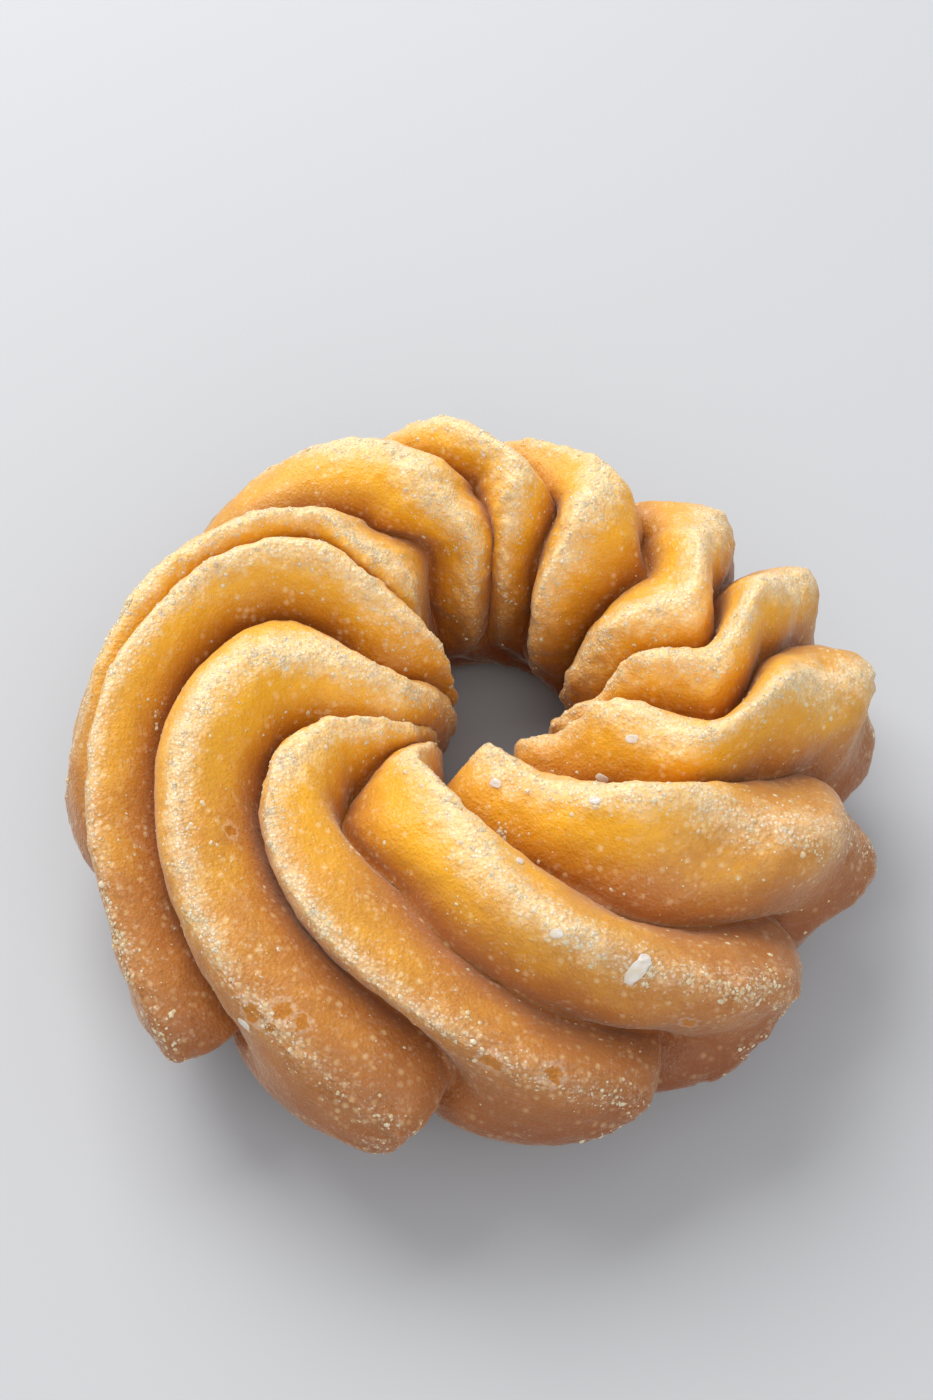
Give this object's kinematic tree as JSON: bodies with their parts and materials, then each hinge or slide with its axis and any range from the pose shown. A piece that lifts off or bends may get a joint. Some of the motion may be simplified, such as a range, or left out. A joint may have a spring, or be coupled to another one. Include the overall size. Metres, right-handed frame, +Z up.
{
  "type": "cruller doughnut",
  "caption": "Ring-shaped fried cruller doughnut with deep twisted ridges and a thin frosted sugar glaze, with an off-centre hole.",
  "frame": {"origin": "middle of the bounding box, on the surface that the doughnut rests on", "axes": "+Z up through the hole, -Y towards the side where the ring is thickest"},
  "size_m": [0.0902, 0.0906, 0.031],
  "materials": {
    "fried_dough": "golden fried dough under a thin, frosted sugar glaze, semi-gloss and slightly translucent",
    "sugar_glaze": "dried sugar glaze, pale and translucent, satin"
  },
  "bodies": {
    "root": {"cruller": "fried_dough"}
  },
  "joints": []
}
